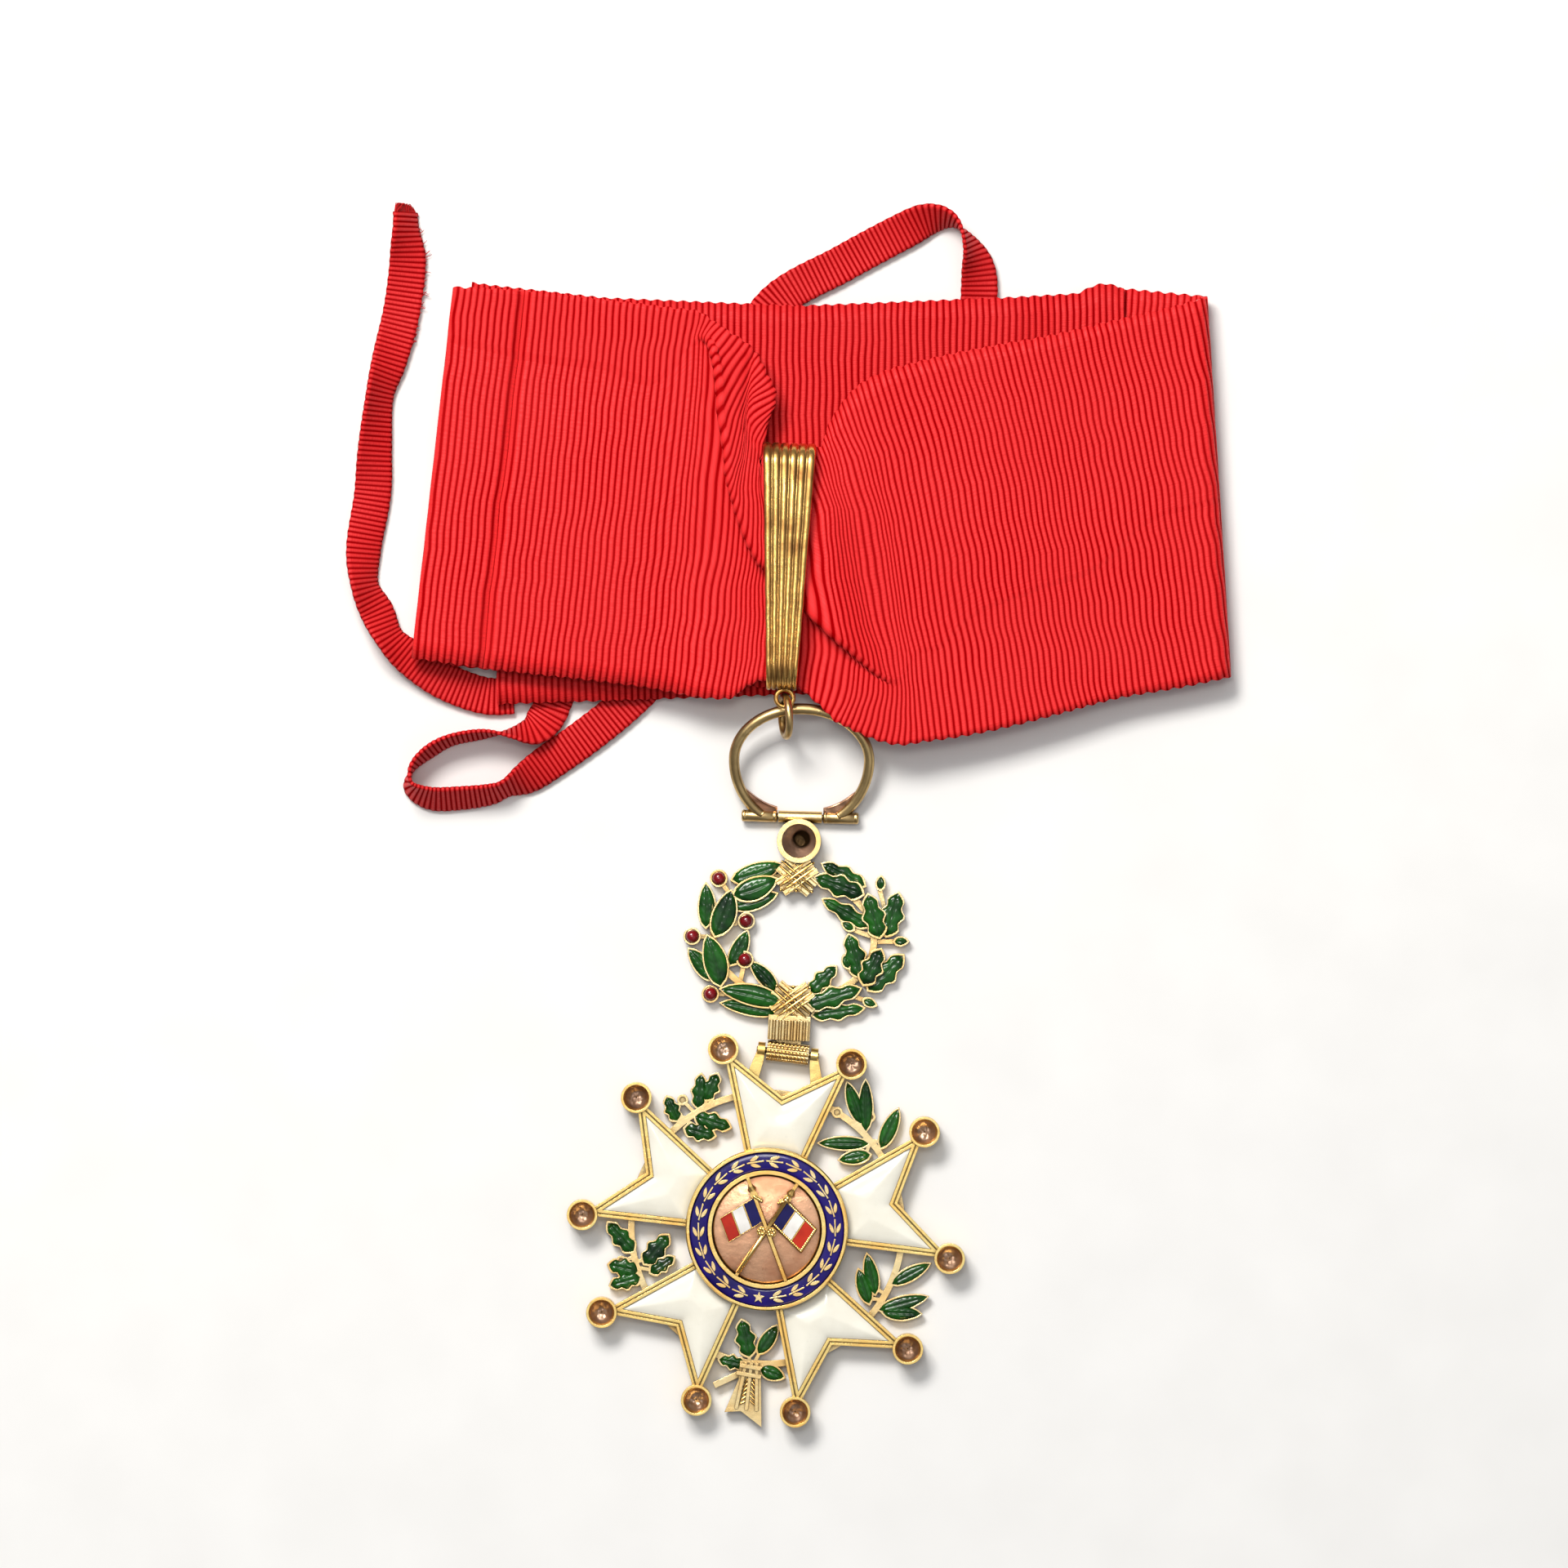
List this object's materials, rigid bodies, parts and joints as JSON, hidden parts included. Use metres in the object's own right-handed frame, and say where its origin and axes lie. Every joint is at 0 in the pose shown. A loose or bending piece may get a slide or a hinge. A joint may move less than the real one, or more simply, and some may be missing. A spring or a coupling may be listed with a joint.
{
  "type": "order neck badge",
  "caption": "Enamelled order star hinged below a laurel and oak wreath, with an oval ring, a reeded bail and a folded red neck ribbon.",
  "frame": {"origin": "centre of the star on the table, at the back of its reverse plate", "axes": "+X to the right in the picture, +Y up towards the ribbon, +Z out of the badge's front"},
  "size_m": [0.1349, 0.1859, 0.0113],
  "materials": {
    "ribbon": "ribbed silk",
    "gold": "gilt, slightly tarnished",
    "copper_gilt": "rose gilt, matt",
    "white_enamel": "glossy enamel",
    "green_enamel": "glossy translucent enamel",
    "blue_enamel": "glossy enamel",
    "red_enamel": "glossy translucent enamel"
  },
  "bodies": {
    "ribbon_and_ring": {"neck_ribbon": "ribbon", "tie_left": "ribbon", "tie_right": "ribbon", "bail": "gold", "jump_ring": "gold", "suspension_ring": "gold", "ring_pin": "gold"},
    "wreath": {"wreath_frame": "gold", "laurel_enamel": "green_enamel", "oak_enamel": "green_enamel", "berry_1": "red_enamel", "berry_2": "red_enamel", "berry_3": "red_enamel", "berry_4": "red_enamel", "berry_5": "red_enamel"},
    "star": {"star_frame": "gold", "star_pin": "gold", "arm_enamel_1": "white_enamel", "arm_enamel_2": "white_enamel", "arm_enamel_3": "white_enamel", "arm_enamel_4": "white_enamel", "arm_enamel_5": "white_enamel", "leaf_crown": "gold", "spray_enamel": "green_enamel", "medal_frame": "gold", "band_enamel": "blue_enamel", "band_ornament": "gold", "centre_disc": "copper_gilt", "flag_poles": "gold", "flag_blue": "blue_enamel", "flag_white": "white_enamel", "flag_red": "red_enamel", "reverse_plate": "gold"}
  },
  "joints": [
    {"name": "ring_hinge", "type": "hinge", "parent": "ribbon_and_ring", "child": "wreath", "pos_m": [0.00506, 0.06251, 0.0011], "axis": [0.9997, -0.0262, 0], "range_deg": [-90, 90]},
    {"name": "star_hinge", "type": "hinge", "parent": "wreath", "child": "star", "pos_m": [0.00319, 0.02671, 0.0016], "axis": [0.993, -0.1184, 0], "range_deg": [-90, 90]}
  ]
}
